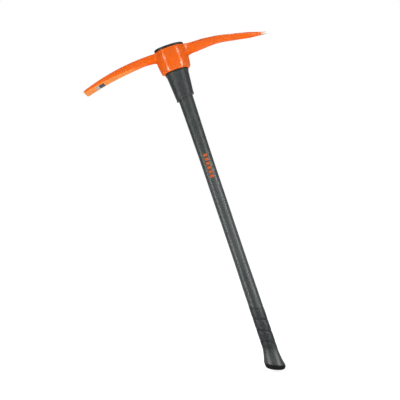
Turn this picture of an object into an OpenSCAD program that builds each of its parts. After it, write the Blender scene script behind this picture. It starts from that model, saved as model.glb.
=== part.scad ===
// Pick axe: a forged two-armed head bonded to an oval fibreglass handle.
// The handle stands along +Z with the head on top, the point towards +X and the chisel towards -X.
// The origin is the centre of the slanted butt face. All lengths are in millimetres.

/* [Handle] */
// Height of the head's lower face above the butt face, on the handle's axis
head_height = 833.5; // [600:0.5:1000]
// Width of the plain shaft, in the plane of the head
shaft_w = 35.2; // [32:0.1:38]
// Depth of the plain shaft, across the plane of the head
shaft_d = 28.1; // [26:0.1:31]
// Width of the shaft just above the grip
grip_end_w = 37.2; // [34:0.1:39]
// Length of the shaft's swell above the grip
grip_swell_len = 140; // [20:1:180]
// Width of the shaft at the collar's lower edge
neck_w = 40.2; // [36:0.1:43]
// Length of the shaft's swell below the collar
neck_swell_len = 200; // [60:1:300]
// Width of the tang at its top, inside the eye
tang_w = 44; // [42:0.5:48]
// Diameter of the fibreglass rod inside the jacket
core_d = 19; // [12:0.5:20]

/* [Grip] */
// Length of the grip from the butt face to its upper edge, on the axis
grip_len = 173; // [140:1:260]
// Width of the grip
grip_w = 38; // [36:0.1:41]
// Depth that the jacket is set back under the grip
grip_recess = 1.6; // [1:0.1:2.4]
// Slant of the butt face, of the grip's upper edge and of its grooves, in degrees
butt_slant = 24; // [5:0.5:28]
// Width of the knob at the butt
knob_w = 51.5; // [44:0.5:58]
// Length of the flare between the grip and the knob
flare_len = 46; // [25:1:60]
// Distance from one groove to the next, and from the upper edge to the first
groove_pitch = 32; // [18:1:34]
// Width of a groove
groove_w = 3; // [1.5:0.1:5]
// Depth of a groove
groove_depth = 1.1; // [0.4:0.1:1.6]
// Rounding of the grip's upper edge
grip_edge_r = 0.9; // [0.3:0.1:1.2]

/* [Butt cap] */
// Thickness of the butt cap on the axis
butt_cap_t = 15; // [10:0.5:18]
// Rounding of the butt cap's lower edge
butt_edge_r = 9; // [1:0.5:10]
// Diameter of the plug that holds the butt cap in the grip
plug_d = 14; // [8:0.5:20]
// Length of the plug
plug_len = 8; // [4:0.5:12]
// Thickness of rubber left between the plug and the handle's end
plug_cover = 6; // [4:0.5:12]

/* [Collar] */
// Length of the collar on the axis
collar_len = 72; // [40:1:110]
// Width of the collar below its top lip
collar_top_w = 60; // [56:0.5:62]
// Width of the collar's top lip
lip_w = 64; // [62:0.5:68]
// Height of the top lip's flare
lip_h = 8; // [4:0.5:20]
// Depth of the collar's top lip
lip_d = 54; // [50:0.5:56]
// Width of the collar above its lower bead
collar_low_w = 49; // [45:0.5:52]
// Slant of the collar's lower edge, in degrees
collar_slant = 10; // [0:0.5:20]
// Height of the bead along the collar's lower edge
bead_h = 5; // [2:0.5:10]
// How far the bead stands proud
bead_t = 0.8; // [0.2:0.1:1.2]

/* [Seal ring] */
// Thickness of the seal ring
seal_t = 2.4; // [1:0.1:5]
// Width of the seal ring
seal_w = 61; // [60:0.5:63]

/* [Hub] */
// Height of the hub
hub_h = 61; // [50:0.5:80]
// Width of the hub at its top
hub_top_w = 84; // [81:0.5:87]
// Width of the hub at its widest place
hub_mid_w = 87.5; // [84:0.5:94]
// Height of the widest place above the hub's lower face
hub_mid_h = 35.5; // [20:0.5:42]
// Width of the hub at its lower face
hub_low_w = 81; // [80:0.5:84]
// Depth of the hub at its widest place
hub_d = 70; // [66:0.5:76]
// Rounding of the hub's upper edge
hub_top_r = 2; // [1:0.5:4]
// Rounding of the hub's lower edge
hub_low_r = 7; // [1:0.5:7.5]
// Width of the eye at its top
eye_top_w = 66; // [62:0.5:69]
// Width of the eye at its lower end
eye_low_w = 58; // [55:0.5:60]
// Depth of the eye at its top
eye_d = 48; // [47:0.5:51]

/* [Chisel arm] */
// Reach of the chisel's edge from the handle's axis
chisel_reach = 249; // [200:1:300]
// Thickness of the chisel arm at the hub
chisel_root_t = 19; // [13:0.1:22]
// Width of the chisel arm at the hub
chisel_root_w = 26; // [20:0.5:34]
// Reach at which the arm starts to spread into the blade
blade_from = 95; // [80:1:150]
// Thickness of the blade at its edge
blade_edge_t = 6.8; // [2:0.1:9]
// Width of the blade at its edge
blade_edge_w = 54; // [35:0.5:65]
// Depth of the arm's middle below the hub's top
chisel_drop = 9.2; // [9:0.1:20]
// Reach at which the arm starts to curve down
chisel_curve_from = 40; // [36:1:100]
// Radius of the arm's curve
chisel_curve_r = 675; // [400:5:900]
// Growth of the arm's thickness and width where it meets the hub
chisel_fillet = 3.5; // [0:0.5:6]
// Length of the blend into the hub
chisel_fillet_len = 36; // [8:1:50]

/* [Point arm] */
// Reach of the point from the handle's axis
point_reach = 270; // [220:1:320]
// Thickness of the point arm at the end of its blend into the hub
point_root_t = 17.6; // [13:0.1:22]
// Width of the point arm at the end of its blend into the hub
point_root_w = 24; // [18:0.5:32]
// Length of the tapered tip
tip_len = 58; // [25:1:90]
// Thickness of the arm where the tip starts
tip_root_t = 14.2; // [8:0.1:16]
// Width of the arm where the tip starts
tip_root_w = 16; // [10:0.5:22]
// Thickness and width of the blunted end of the tip
tip_end = 2.6; // [1:0.1:5]
// Depth of the arm's middle below the hub's top
point_drop = 11.5; // [11:0.1:20]
// Reach at which the arm starts to curve down
point_curve_from = 85; // [50:1:110]
// Radius of the arm's curve
point_curve_r = 350; // [250:5:600]
// Slope of the arm beyond its curve, in degrees
point_slope = 11.4; // [4:0.2:16]
// Growth of the arm's thickness and width where it meets the hub
point_fillet = 10; // [0:0.5:12]
// Length of the blend into the hub
point_fillet_len = 82; // [30:1:110]

/* [Top cap] */
// Width of the cap
cap_w = 80.5; // [76:0.5:84]
// Depth of the cap
cap_d = 58; // [56:0.5:62]
// Height of the cap's rim
cap_rim_h = 6.5; // [4:0.5:10]
// Rise of the dome above the rim
cap_dome_h = 3.5; // [1:0.5:8]
// Rounding of the rim's upper edge
cap_edge_r = 1.5; // [0.5:0.5:3]
// Depth of the plug that seats the cap in the eye
cap_plug_h = 3; // [2:0.5:6]

/* [Hidden] */

// Clearance between pieces that are bonded or moulded together
bond_gap = 0.1;
// Overrun of every cut
overrun = 1;

// Smoothness
$fn = 96;
swell_steps = 12;
corner_steps = 5;
arm_steps = 26;
section_points = 24;
// Squareness of the arms' sections: 2 is an ellipse, more is squarer
blade_squareness_share = 5;
point_squareness_share = 3.6;
// Steepness of the arms' blend into the hub, of the blade's spread and of its thinning
blend_power_share = 1.4;
spread_power_share = 0.85;
thinning_power_share = 1.5;
// Steepness of the shaft's swell below the collar, and of the grip's flare
neck_power_share = 1.5;
flare_power_share = 1.4;

// Levels along the handle's axis
hub_top = head_height + hub_h;
collar_top = head_height - seal_t - bond_gap;
collar_low = collar_top - collar_len;
handle_end = butt_cap_t + plug_len + plug_cover;
tang_top = hub_top - cap_plug_h - bond_gap;

// Flats between the round ends of the ovals: width less depth
shaft_flat = shaft_w - shaft_d;
collar_flat = lip_w - lip_d;
eye_flat = eye_top_w - eye_d;
hub_flat = hub_mid_w - hub_d;
cap_flat = cap_w - cap_d;

// Reach of a tilted cut, past every piece that it trims
cut_reach = head_height + hub_h;

function ease(t) = t * t * (3 - 2 * t);
function lerp(from, to, t) = from + (to - from) * t;
function span(value, from, to) = max(0, min(1, (value - from) / (to - from)));

// A half profile lists [half width, height] from the bottom of the axis to its top.
// Points of a half profile that eases from one half width to another
function swell(z_from, r_from, z_to, r_to) = [
    for (i = [0 : swell_steps])
        let (t = i / swell_steps) [lerp(r_from, r_to, ease(t)), lerp(z_from, z_to, t)]
];

// Points of a half profile that spreads ever faster from one half width to another
function spread(z_from, r_from, z_to, r_to, power) = [
    for (i = [0 : swell_steps])
        let (t = i / swell_steps) [lerp(r_from, r_to, pow(t, power)), lerp(z_from, z_to, t)]
];

// A quarter round of a half profile, from one angle to another
function corner(r, z, radius, from, to) = [
    for (i = [0 : corner_steps])
        let (a = lerp(from, to, i / corner_steps)) [r + radius * cos(a), z + radius * sin(a)]
];

// Upright solid of oval section: a half profile turned at both ends of a flat and drawn out between them
module oval(flat, outline) {
    last = len(outline) - 1;
    turned = [for (p = outline) [max(0, p.x - flat / 2), p.y]];
    mirrored = [for (i = [last - 1 : -1 : 1]) [-turned[i].x, turned[i].y]];
    for (side = [-1, 1])
        translate([side * flat / 2, 0, 0]) rotate_extrude() polygon(turned);
    rotate([90, 0, 90])
        linear_extrude(flat, center = true) polygon(concat(turned, mirrored));
}

// Leans level sections over, so that they fall towards +X by the tilt
module leaning(tilt) {
    multmatrix([[1, 0, 0, 0], [0, 1, 0, 0], [-tan(tilt), 0, 1, 0]]) children();
}

// Half space below a plane that crosses the axis at a height and falls towards +X by the tilt
module below_plane(height, tilt) {
    translate([0, 0, height])
        rotate([0, tilt, 0])
            translate([-cut_reach, -cut_reach, -2 * cut_reach])
                cube(2 * cut_reach);
}

// Profile of the jacket, from the handle's end up to the top of the tang
function jacket_outline(grow) = concat(
    [[0, handle_end], [grip_end_w / 2 + grow, handle_end]],
    swell(grip_len, grip_end_w / 2 + grow, grip_len + grip_swell_len, shaft_w / 2 + grow),
    spread(collar_low - neck_swell_len, shaft_w / 2 + grow, collar_low, neck_w / 2 + grow, neck_power_share),
    [[tang_w / 2 + grow, tang_top], [0, tang_top]]
);

// Profile of the jacket where it is set back under the grip
function recess_outline(grow, z_from, z_to) = [
    [0, z_from],
    [grip_end_w / 2 - grip_recess + grow, z_from],
    [grip_end_w / 2 - grip_recess + grow, z_to],
    [0, z_to]
];

// Highest point of the grip's slanted upper edge
grip_top = grip_len + grip_w * tan(butt_slant);

// Half width of the grip's flare at a height above the butt face
function flare_r(h) =
    lerp(grip_w, knob_w, pow(1 - span(h, butt_cap_t, butt_cap_t + flare_len), flare_power_share)) / 2;

// Profile of one groove, read upwards
function groove_outline(z) = [
    for (i = [0 : corner_steps])
        let (t = i / corner_steps)
            [grip_w / 2 - groove_depth * sin(180 * t), z + groove_w * (t - 1 / 2)]
];

// As many grooves as fit between the flare and the upper edge
groove_count = floor((grip_len - butt_cap_t - flare_len - groove_w) / groove_pitch);

grip_low = butt_cap_t + bond_gap;
grip_outline = concat(
    [[0, grip_low]],
    [for (i = [0 : swell_steps])
        let (h = lerp(grip_low, butt_cap_t + flare_len, i / swell_steps)) [flare_r(h), h]],
    [for (i = [groove_count : -1 : 1]) each groove_outline(grip_len - i * groove_pitch)],
    corner(grip_w / 2 - grip_edge_r, grip_len - grip_edge_r, grip_edge_r, 0, 90),
    [[0, grip_len]]
);

butt_outline = concat(
    [[0, -overrun], [knob_w / 2 - butt_edge_r, -overrun]],
    corner(knob_w / 2 - butt_edge_r, butt_edge_r, butt_edge_r, -90, 0),
    [[knob_w / 2, butt_cap_t], [0, butt_cap_t]]
);

// Lowest point of the collar's slanted lower edge
collar_toe = collar_low - lip_w / 2 * tan(collar_slant);
collar_outline = concat(
    [[0, collar_toe], [collar_low_w / 2, collar_toe], [collar_low_w / 2, collar_low]],
    swell(collar_top - lip_h, collar_top_w / 2, collar_top, lip_w / 2),
    [[0, collar_top]]
);

// The bead fades out over the upper half of its height
bead_outline = concat(
    [[0, collar_low], [collar_low_w / 2 + bead_t, collar_low]],
    swell(collar_low + bead_h / 2, collar_low_w / 2 + bead_t, collar_low + bead_h, collar_low_w / 2),
    [[0, collar_low + bead_h]]
);

hub_outline = concat(
    [[0, head_height]],
    corner(hub_low_w / 2 - hub_low_r, head_height + hub_low_r, hub_low_r, -90, 0),
    [[hub_mid_w / 2, head_height + hub_mid_h]],
    corner(hub_top_w / 2 - hub_top_r, hub_top - hub_top_r, hub_top_r, 0, 90),
    [[0, hub_top]]
);

// Half width of the eye at a height
function eye_r(z) = lerp(eye_low_w, eye_top_w, (z - head_height) / hub_h) / 2;

function eye_outline(grow, z_from, z_to) = [
    [0, z_from], [eye_r(z_from) + grow, z_from], [eye_r(z_to) + grow, z_to], [0, z_to]
];

// The dome is a round arch over the cap's depth
dome_half = cap_d / 2 - cap_edge_r;
dome_r = (dome_half ^ 2 + cap_dome_h ^ 2) / (2 * cap_dome_h);
cap_low = hub_top + bond_gap;
cap_outline = concat(
    [[0, tang_top + bond_gap]],
    [[eye_r(tang_top) - bond_gap, tang_top + bond_gap], [eye_r(hub_top) - bond_gap, cap_low]],
    [[cap_w / 2, cap_low]],
    corner(cap_w / 2 - cap_edge_r, cap_low + cap_rim_h - cap_edge_r, cap_edge_r, 0, 90),
    [for (i = [swell_steps - 1 : -1 : 0])
        let (r = dome_half * i / swell_steps)
            [cap_flat / 2 + r, cap_low + cap_rim_h + cap_dome_h - sag(r, dome_r)]],
    [[0, cap_low + cap_rim_h + cap_dome_h]]
);

// Cosine or sine drawn out towards a square
function squared(value, squareness) = sign(value) * pow(abs(value), 2 / squareness);

// Cross section of an arm at a place along X
function section(x, z, w, t, squareness) = [
    for (i = [0 : section_points - 1])
        let (a = 360 * i / section_points)
            [x, squared(cos(a), squareness) * w / 2, z + squared(sin(a), squareness) * t / 2]
];

// Solid through cross sections that are given in the order of rising X
module loft(sections) {
    n = section_points;
    last = len(sections) - 1;
    sides = [
        for (j = [0 : last - 1], i = [0 : n - 1])
            let (k = (i + 1) % n, a = j * n, b = a + n)
                each [[a + i, b + k, a + k], [a + i, b + i, b + k]]
    ];
    low_end = [for (i = [0 : n - 1]) i];
    high_end = [for (i = [n - 1 : -1 : 0]) last * n + i];
    polyhedron([for (ring = sections) each ring], concat([low_end, high_end], sides));
}

// Drop of a circular curve over a level run
function sag(run, r) = r - sqrt(r ^ 2 - run ^ 2);

// Growth of an arm near the hub
function blend(s, height, length) =
    height * pow(1 - span(s, hub_mid_w / 2, hub_mid_w / 2 + length), blend_power_share);

// Inner end of both arms, inside the hub's wall
arm_root = eye_top_w / 2;

function chisel_section(s) =
    let (
        blade = span(s, blade_from, chisel_reach),
        growth = blend(s, chisel_fillet, chisel_fillet_len),
        drop = chisel_drop + sag(max(0, s - chisel_curve_from), chisel_curve_r)
    )
    section(
        -s, hub_top - drop,
        lerp(chisel_root_w, blade_edge_w, pow(blade, spread_power_share)) + growth,
        lerp(chisel_root_t, blade_edge_t, pow(blade, thinning_power_share)) + growth,
        blade_squareness_share
    );

// Level run over which the point arm curves down to its slope
point_bend = point_curve_r * sin(point_slope);

function point_section(s) =
    let (
        shank_end = point_reach - tip_len,
        shank = span(s, hub_mid_w / 2 + point_fillet_len, shank_end),
        tip = span(s, shank_end, point_reach),
        growth = blend(s, point_fillet, point_fillet_len),
        run = max(0, s - point_curve_from),
        bend = min(run, point_bend),
        drop = point_drop + sag(bend, point_curve_r) + (run - bend) * tan(point_slope)
    )
    section(
        s, hub_top - drop,
        lerp(lerp(point_root_w, tip_root_w, shank), tip_end, tip) + growth,
        lerp(lerp(point_root_t, tip_root_t, shank), tip_end, tip) + growth,
        point_squareness_share
    );

module pick_head() {
    color([0.93, 0.40, 0.12])
        difference() {
            union() {
                oval(hub_flat, hub_outline);
                loft([for (i = [arm_steps : -1 : 0])
                    chisel_section(lerp(arm_root, chisel_reach, i / arm_steps))]);
                loft([for (i = [0 : arm_steps])
                    point_section(lerp(arm_root, point_reach, i / arm_steps))]);
            }
            oval(eye_flat, eye_outline(0, head_height - overrun, hub_top + overrun));
            // The arms' roots are ground flush with the hub's top
            translate([-cut_reach, -cut_reach, hub_top]) cube(2 * cut_reach);
        }
}

module top_cap() {
    color([0.09, 0.09, 0.09]) oval(cap_flat, cap_outline);
}

module eye_resin() {
    color([0.55, 0.45, 0.25])
        difference() {
            oval(eye_flat, eye_outline(-bond_gap, head_height, tang_top));
            oval(shaft_flat, jacket_outline(bond_gap));
        }
}

module seal_ring() {
    color([0.06, 0.06, 0.06])
        difference() {
            oval(collar_flat, [
                [0, head_height - seal_t],
                [seal_w / 2, head_height - seal_t],
                [seal_w / 2, head_height - bond_gap],
                [0, head_height - bond_gap]
            ]);
            oval(shaft_flat, jacket_outline(bond_gap));
        }
}

module neck_collar() {
    color([0.27, 0.30, 0.30])
        difference() {
            union() {
                difference() {
                    oval(collar_flat, collar_outline);
                    below_plane(collar_low, -collar_slant);
                }
                leaning(-collar_slant) oval(collar_flat, bead_outline);
            }
            oval(shaft_flat, jacket_outline(bond_gap));
        }
}

module handle_jacket() {
    color([0.33, 0.36, 0.36])
        difference() {
            oval(shaft_flat, jacket_outline(0));
            difference() {
                below_plane(grip_len + bond_gap, butt_slant);
                oval(shaft_flat, recess_outline(0, handle_end - overrun, grip_top));
            }
            translate([0, 0, handle_end - overrun])
                cylinder(d = core_d + 2 * bond_gap, h = tang_top - handle_end + 2 * overrun);
        }
}

module fibreglass_core() {
    color([0.85, 0.80, 0.60])
        translate([0, 0, handle_end]) cylinder(d = core_d, h = tang_top - handle_end);
}

module grip_sleeve() {
    color([0.27, 0.29, 0.30])
        difference() {
            leaning(butt_slant) oval(shaft_flat, grip_outline);
            oval(shaft_flat, recess_outline(bond_gap, handle_end - bond_gap, grip_top));
            cylinder(d = plug_d + 2 * bond_gap, h = butt_cap_t + plug_len + bond_gap);
        }
}

module butt_cap() {
    color([0.05, 0.05, 0.05])
        difference() {
            union() {
                leaning(butt_slant) oval(shaft_flat, butt_outline);
                translate([0, 0, butt_cap_t / 2]) cylinder(d = plug_d, h = butt_cap_t / 2 + plug_len);
            }
            below_plane(0, butt_slant);
        }
}

pick_head();
top_cap();
eye_resin();
seal_ring();
neck_collar();
handle_jacket();
fibreglass_core();
grip_sleeve();
butt_cap();
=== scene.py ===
"""A pick axe: modelled pieces, their finishes and a plain studio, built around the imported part."""

from math import atan2, copysign, cos, pi, radians, sin, sqrt, tan

import bmesh
import bpy
from bpy.props import FloatProperty, FloatVectorProperty, PointerProperty
from mathutils import Matrix, Vector, noise


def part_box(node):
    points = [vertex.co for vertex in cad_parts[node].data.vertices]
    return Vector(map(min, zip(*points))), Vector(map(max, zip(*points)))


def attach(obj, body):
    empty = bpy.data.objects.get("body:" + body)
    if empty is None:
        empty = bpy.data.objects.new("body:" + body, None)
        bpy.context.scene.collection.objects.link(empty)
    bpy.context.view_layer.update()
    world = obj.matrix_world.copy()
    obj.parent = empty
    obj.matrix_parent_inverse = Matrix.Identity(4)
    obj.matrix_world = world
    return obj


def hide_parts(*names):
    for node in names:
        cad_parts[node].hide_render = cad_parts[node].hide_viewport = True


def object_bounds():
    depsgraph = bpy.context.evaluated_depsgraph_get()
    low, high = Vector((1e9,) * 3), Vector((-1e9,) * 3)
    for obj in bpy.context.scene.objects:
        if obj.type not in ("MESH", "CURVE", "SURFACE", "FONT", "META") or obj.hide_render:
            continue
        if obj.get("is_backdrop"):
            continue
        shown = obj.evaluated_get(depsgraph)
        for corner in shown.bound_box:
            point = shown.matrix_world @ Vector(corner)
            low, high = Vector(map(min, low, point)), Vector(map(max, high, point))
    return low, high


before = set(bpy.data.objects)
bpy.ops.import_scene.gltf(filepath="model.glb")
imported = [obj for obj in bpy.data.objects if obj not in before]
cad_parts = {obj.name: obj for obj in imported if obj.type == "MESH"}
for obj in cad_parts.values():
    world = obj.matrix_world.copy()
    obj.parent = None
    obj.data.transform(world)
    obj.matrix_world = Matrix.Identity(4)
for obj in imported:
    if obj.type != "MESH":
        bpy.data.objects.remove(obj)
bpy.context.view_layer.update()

bl_info = {
    "name": "Pick Axe",
    "version": (1, 0, 0),
    "blender": (4, 5, 0),
    "location": "3D View > Sidebar > Pick Axe",
    "description": "Models and finishes the pieces of a pick axe around its packed solids",
    "category": "Object",
}

# Corners of the solids that the modelled pieces stand for
HEAD_LOW, HEAD_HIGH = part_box("pick_head")
CAP_LOW, CAP_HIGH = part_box("top_cap")
RESIN_LOW, RESIN_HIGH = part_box("eye_resin")
SEAL_LOW, SEAL_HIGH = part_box("seal_ring")
COLLAR_LOW, COLLAR_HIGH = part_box("neck_collar")
JACKET_LOW, JACKET_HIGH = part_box("handle_jacket")
CORE_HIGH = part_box("fibreglass_core")[1]

# Facets round the ovals, and the fullness of their outline, where 2 is an ellipse and more is squarer
COLUMNS = 96
ELLIPSE = 2.0
HUB_FULLNESS = 2.15
CAP_FULLNESS = 2.5
HANDLE_FULLNESS = 2.28
# Clearance between nested pieces
BOND_GAP = 0.0001


# Settings

def length(name, default, description):
    """A size in metres that the user can change."""
    return FloatProperty(
        name=name, description=description, default=default, subtype="DISTANCE", unit="LENGTH", precision=5
    )


def angle(name, default, description):
    """An angle that the user can change, given in degrees."""
    return FloatProperty(
        name=name, description=description, default=radians(default), subtype="ANGLE", unit="ROTATION"
    )


def level(name, default, description):
    """A plain number that the user can change."""
    return FloatProperty(name=name, description=description, default=default, precision=3)


def colour(name, default, description):
    """A colour that the user can change."""
    return FloatVectorProperty(
        name=name, description=description, default=default, size=3, min=0.0, max=1.0, subtype="COLOR"
    )


class PICKAXE_PG_hub(bpy.types.PropertyGroup):
    """Sizes of the hub around the eye"""

    top_width: length("Top width", 0.084, "Width of the hub under its rounded upper edge")
    middle_width: length("Middle width", 0.0875, "Width of the hub at its widest place")
    low_width: length("Low width", 0.081, "Width of the hub over its rounded lower edge")
    flat: length("Flat", 0.0175, "Width of the hub less its depth")
    middle_height: length("Middle height", 0.0355, "Height of the widest place above the hub's lower face")
    top_round: length("Upper round", 0.002, "Rounding of the hub's upper edge")
    low_round: length("Lower round", 0.007, "Rounding of the lower edge, across the width")
    low_round_depth: length("Lower round, depth", 0.0038, "Rounding of the lower edge, across the depth")


class PICKAXE_PG_chisel(bpy.types.PropertyGroup):
    """Sizes of the chisel arm"""

    reach: length("Reach", -HEAD_LOW.x, "Reach of the cutting edge from the handle's axis")
    root_thickness: length("Root thickness", 0.0193, "Thickness of the arm beside the hub")
    root_width: length("Root width", 0.026, "Width of the arm beside the hub")
    blade_from: length("Blade from", 0.095, "Reach at which the arm starts to spread")
    edge_thickness: length("Edge thickness", 0.0068, "Thickness of the blade behind its ground edge")
    edge_width: length("Edge width", 0.054, "Width of the blade at its edge")
    drop: length("Drop", 0.0090, "Depth of the arm's middle below the hub's top")
    curve_from: length("Curve from", 0.040, "Reach at which the arm starts to curve down")
    curve_radius: length("Curve radius", 0.697, "Radius of the arm's curve")
    blend: length("Blend", 0.0045, "Growth of the arm's thickness and width at the hub")
    blend_length: length("Blend length", 0.036, "Length of that growth")
    bevel: length("Edge bevel", 0.0035, "Length of the ground bevel at the edge")


class PICKAXE_PG_point(bpy.types.PropertyGroup):
    """Sizes of the point arm"""

    reach: length("Reach", HEAD_HIGH.x, "Reach of the point from the handle's axis")
    root_thickness: length("Root thickness", 0.0176, "Thickness of the arm past its blend into the hub")
    root_width: length("Root width", 0.024, "Width of the arm past its blend into the hub")
    tip_length: length("Tip length", 0.058, "Length of the ground taper")
    tip_thickness: length("Tip thickness", 0.0142, "Thickness of the arm where the taper starts")
    tip_width: length("Tip width", 0.016, "Width of the arm where the taper starts")
    tip_end: length("Tip end", 0.0026, "Thickness of the blunted end")
    bare_from: length("Bare from", 0.240, "Reach at which the enamel ends and bare steel starts")
    drop: length("Drop", 0.0115, "Depth of the arm's middle below the hub's top")
    curve_from: length("Curve from", 0.085, "Reach at which the arm starts to curve down")
    curve_radius: length("Curve radius", 0.350, "Radius of the arm's curve")
    slope: angle("Slope", 11.4, "Slope of the arm beyond its curve")
    blend: length("Blend", 0.010, "Growth of the arm's thickness and width at the hub")
    blend_length: length("Blend length", 0.082, "Length of that growth")
    shoulder: length("Shoulder", 0.0008, "Depth of the arm's upper face below the hub's top")
    belly: length("Belly", 0.0025, "Extra depth under the arm beside the hub")
    belly_end: length("Belly end", 0.140, "Reach at which that extra depth has died away")


class PICKAXE_PG_handle(bpy.types.PropertyGroup):
    """Sizes of the shaft, its collar and the seal ring"""

    shaft_width: length("Shaft width", 0.0352, "Width of the plain shaft")
    shaft_flat: length("Shaft flat", 0.0071, "Width of the shaft less its depth")
    neck_width: length("Neck width", 0.0402, "Width of the shaft at the collar's lower edge")
    neck_swell: length("Neck swell", 0.200, "Length of the shaft's swell below the collar")
    tang_width: length("Tang width", JACKET_HIGH.x - JACKET_LOW.x, "Width of the tang at its top")
    collar_length: length("Collar length", 0.0722, "Length of the collar on the axis")
    collar_top_width: length("Collar top width", 0.060, "Width of the collar below its lip")
    collar_low_width: length("Collar low width", 0.049, "Width of the collar above its bead")
    collar_slant: angle("Collar slant", 10.0, "Slant of the collar's lower edge")
    lip_height: length("Lip height", 0.008, "Height of the flare under the collar's lip")
    bead_height: length("Bead height", 0.005, "Height of the bead along the collar's lower edge")
    bead_depth: length("Bead depth", 0.0008, "How far the bead stands proud")
    parting_ridge: length("Parting ridge", 0.00012, "Height of the mould's parting line along the sides")


class PICKAXE_PG_grip(bpy.types.PropertyGroup):
    """Sizes of the grip and the butt"""

    grip_length: length("Grip length", 0.173, "Length of the grip from the butt face to its upper edge")
    grip_width: length("Grip width", 0.0380, "Width of the grip")
    seat_width: length("Seat width", 0.0378, "Width of the shaft above the grip")
    seat_swell: length("Seat swell", 0.140, "Length of the shaft's swell above the grip")
    recess: length("Recess", 0.0016, "Depth that the jacket is set back under the grip")
    slant: angle("Slant", 24.0, "Slant of the butt face, the grip's upper edge and its grooves")
    knob_width: length("Knob width", 0.0518, "Width of the knob at the butt")
    knob_shift: length("Knob shift", 0.0012, "How far the knob leans to the chisel's side")
    flare_length: length("Flare length", 0.046, "Length of the flare between the grip and the knob")
    groove_pitch: length("Groove pitch", 0.032, "Distance from one groove to the next")
    groove_width: length("Groove width", 0.0034, "Width of a groove")
    groove_depth: length("Groove depth", 0.0012, "Depth of a groove")
    crown: length("Crown", 0.0003, "How far the grip swells between two grooves")
    butt_thickness: length("Butt thickness", 0.015, "Thickness of the butt cap on the axis")
    butt_round: length("Butt round", 0.0095, "Rounding of the butt cap's lower edge")
    butt_lean: level(
        "Butt lean", 0.55, "Share by which that rounding grows on the low side and shrinks on the high one"
    )
    plug_width: length("Plug width", 0.014, "Diameter of the butt cap's plug")
    plug_length: length("Plug length", 0.008, "Length of the butt cap's plug")


class PICKAXE_PG_cap(bpy.types.PropertyGroup):
    """Sizes of the cap on the eye"""

    rim_height: length("Rim height", 0.0065, "Height of the cap's rim")
    edge_round: length("Edge round", 0.0012, "Rounding of the rim's upper edge")
    land: length("Land", 0.003, "Width of the level land inside the rim")
    lean: length("Lean", 0.0010, "How far the rim rises on the chisel's side and falls on the other")
    moat: length("Moat", 0.0004, "Depth of the fine line between the land and the dome")


class PICKAXE_PG_colours(bpy.types.PropertyGroup):
    """Colours of the finishes"""

    enamel: colour("Enamel", (0.86, 0.136, 0.011), "Main colour of the head")
    enamel_deep: colour("Deep enamel", (0.79, 0.118, 0.009), "Colour of the enamel where it lies thick")
    # Painted light: a paler orange for the chisel arm's underside, standing in for light thrown up from below
    enamel_lit_underside: colour(
        "Enamel lit from below", (0.88, 0.265, 0.045), "Colour of the enamel under the chisel arm, where it lies thin"
    )
    mark_pale: colour("Pale bar", (0.42, 0.42, 0.41), "Pale plain bar under the blade")
    mark_dark: colour("Dark bar", (0.060, 0.062, 0.066), "Dark plain bar under the blade")
    steel: colour("Steel", (0.19, 0.175, 0.165), "Bare steel behind the point")
    steel_bright: colour("Bright steel", (0.36, 0.355, 0.35), "Freshly ground steel at the tip of the point")
    jacket: colour("Jacket", (0.0275, 0.0352, 0.0366), "Polymer jacket of the shaft")
    # Paler polymer in random patches, and also the colour of the painted highlight bands down the shaft's
    # face
    jacket_pale_and_highlight: colour("Pale jacket and highlight", (0.086, 0.095, 0.098), "Jacket where the polymer is paler")
    collar: colour("Collar", (0.028, 0.034, 0.036), "Polymer of the collar")
    collar_pale: colour("Pale collar", (0.044, 0.052, 0.055), "Collar where the polymer is paler")
    grip: colour("Grip", (0.015, 0.019, 0.021), "Rubber of the grip")
    # Paler rubber in random patches, and also the colour of the painted highlight down the grip's right side
    grip_pale_and_highlight: colour("Pale grip and highlight", (0.052, 0.061, 0.064), "Grip where the rubber is paler")
    # Painted highlight: the pale colour of the lamp stripes down the knob's face
    grip_highlight: colour("Grip highlight", (0.185, 0.205, 0.209), "Grip where hands have rubbed the knob paler")
    black: colour("Black", (0.004, 0.004, 0.005), "Black plastic and rubber")
    black_pale: colour("Pale black", (0.009, 0.009, 0.010), "Black plastic and rubber where it is paler")
    bars: colour("Blocks", (0.50, 0.100, 0.018), "Printed blocks on the shaft")
    resin: colour("Resin", (0.26, 0.17, 0.05), "Cast resin in the eye")
    glass_fibre: colour("Glass fibre", (0.62, 0.55, 0.33), "Pultruded rod in the jacket")


class PICKAXE_PG_stage(bpy.types.PropertyGroup):
    """The camera, the lamps and the floor"""

    camera_x: length("Camera side", -0.0506, "Place of the camera along the head")
    camera_distance: length("Camera distance", 1.450, "Distance of the camera from the plane of the head")
    camera_height: length("Camera height", 0.4899, "Height of the camera above the butt face")
    camera_roll: angle("Camera roll", 18.65, "Roll of the camera, which leans the tool in the picture")
    lens: level("Lens", 49.06, "Focal length in millimetres on a sensor of 36 millimetres")
    lamp_distance: length("Lamp distance", 0.66, "Distance of the two strip lamps from the handle")
    lamp_side: angle("Lamp side", 40.0, "Angle of each strip lamp to the camera's side")
    lamp_width: length("Lamp width", 0.06, "Width of a strip lamp")
    lamp_height: length("Lamp height", 1.30, "Height of a strip lamp")
    lamp_top: length("Lamp top", 1.45, "Height of the lamps' upper ends above the floor")
    lamp_power: level("Lamp power", 2.6, "Power of a strip lamp in watts")
    glint_width: length("Glint width", 0.12, "Width of a lamp that only shows as a glint in gloss")
    glint_height: length("Glint height", 1.44, "Height of that lamp")
    glint_power: level("Glint power", 9.0, "Power of that lamp in watts")
    glint_colour: colour("Glint colour", (1.0, 0.94, 0.80), "Colour of that lamp")
    card_width: length("Card width", 1.4, "Width of the low card before the tool, and of the one behind it")
    card_depth: length("Card depth", 0.7, "Depth of a low card")
    card_distance: length("Card distance", 0.65, "Distance of a low card from the handle")
    card_power: level("Card power", 5.5, "Power that a low card throws up, in watts")
    front_light: level("Front light", 0.27, "Brightness of the room on the camera's side")
    back_light: level("Back light", 0.50, "Brightness of the room on the far side")
    floor_glow: level("Floor glow", 0.80, "Brightness that the camera sees added to the floor")


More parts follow.
